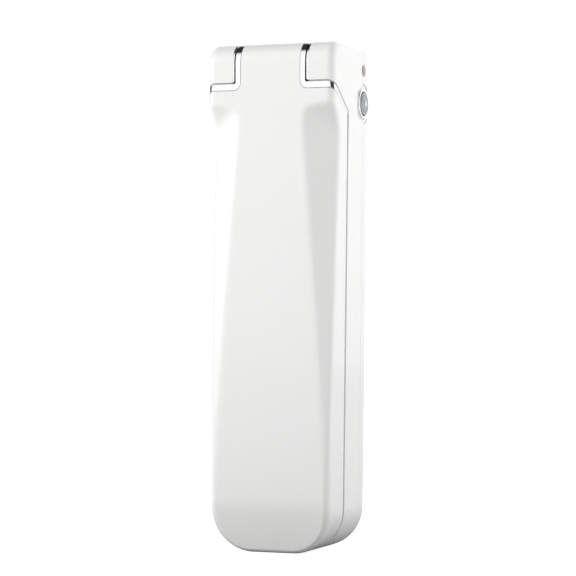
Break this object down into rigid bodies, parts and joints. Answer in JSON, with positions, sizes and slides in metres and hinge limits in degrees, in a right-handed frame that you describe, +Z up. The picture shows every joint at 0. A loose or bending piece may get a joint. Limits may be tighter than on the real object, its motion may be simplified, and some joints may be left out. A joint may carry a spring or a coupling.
{
  "type": "handheld bag heat sealer",
  "caption": "Slim folding clamshell bag heat sealer: white shells hinged at the top end with bright trims, side button and indicator, heating strip and sprung press bar inside.",
  "frame": {"origin": "on the flat bottom end, midway between the two sides, in line with the middle of the thickness", "axes": "+Z up to the hinge end; the arm's finger face looks along -Y; the button is on the +X side"},
  "size_m": [0.0407, 0.0336, 0.15],
  "materials": {
    "white_shell": "moulded ABS, high gloss",
    "inner_white": "moulded ABS, fine satin",
    "chrome_trim": "bright plated plastic",
    "button_grey": "steel-grey satin",
    "clear_lens": "clear",
    "smoked_lens": "smoky red-brown",
    "steel": "ground steel",
    "fastener": "zinc-plated",
    "spring_wire": "drawn wire",
    "magnet": "nickel-plated",
    "bush": "acetal",
    "tray": "heat-proof glass-filled nylon",
    "mica": "mica board",
    "ribbon": "nickel-chrome ribbon",
    "cover_sheet": "coated glass cloth",
    "brass": "bare",
    "silicone": "soft silicone",
    "feet": "soft, pale",
    "pouch": "laminated foil pouch",
    "foam": "closed-cell foam",
    "board": "green solder mask",
    "black_parts": "moulded epoxy",
    "capacitor_can": "can",
    "connector": "nylon",
    "white_lead": "silicone sleeve",
    "red_wire": "PVC",
    "black_wire": "PVC"
  },
  "bodies": {
    "base": {"base_front_shell": "white_shell", "base_rear_shell": "white_shell", "casing_screws": "fastener", "rubber_feet": "feet", "heater_tray": "tray", "insulating_bar": "mica", "heating_ribbon": "ribbon", "ribbon_cover_sheet": "cover_sheet", "ribbon_terminals": "brass", "tray_screws": "fastener", "battery_pack": "pouch", "battery_foam_pad": "foam", "circuit_board": "board", "board_screws": "fastener", "power_inductor": "black_parts", "control_chip": "black_parts", "power_transistors": "black_parts", "filter_capacitors": "capacitor_can", "battery_connector": "connector", "button_switch": "black_parts", "indicator_led": "connector", "charging_port": "fastener", "button_bezel": "chrome_trim", "indicator_lens": "smoked_lens", "hinge_shaft": "steel", "hinge_plug": "white_shell", "ear_trim_right": "chrome_trim", "ear_trim_left": "chrome_trim", "friction_washers": "steel", "base_magnet": "magnet", "thermal_cutout": "capacitor_can", "heater_lead_lower": "white_lead", "heater_lead_upper": "white_lead", "cutout_lead": "white_lead", "battery_wire_positive": "red_wire", "battery_wire_negative": "black_wire"},
    "button": {"button_cap": "button_grey", "button_lens": "clear_lens", "switch_plunger": "bush"},
    "arm": {"arm_cover": "white_shell", "hinge_trim_right": "chrome_trim", "hinge_trim_left": "chrome_trim", "hinge_bushes": "bush", "arm_liner": "inner_white", "arm_screws": "fastener", "arm_magnet": "magnet", "press_springs": "spring_wire"},
    "press": {"press_bar": "tray", "silicone_strip": "silicone"}
  },
  "joints": [
    {"name": "arm_hinge", "type": "hinge", "parent": "base", "child": "arm", "pos_m": [0, -0.0105, 0.144], "axis": [-1, 0, 0], "range_deg": [0, 180]},
    {"name": "press_bar_float", "type": "slide", "parent": "arm", "child": "press", "axis": [0, -1, 0], "range_m": [0, 0.0009], "stiffness_N_per_m": 3000, "springref_m": -0.001, "deforming": ["press_springs"]},
    {"name": "button_press", "type": "slide", "parent": "base", "child": "button", "axis": [-1, 0, 0], "range_m": [0, 0.0005], "stiffness_N_per_m": 3000, "springref_m": -0.0002}
  ]
}
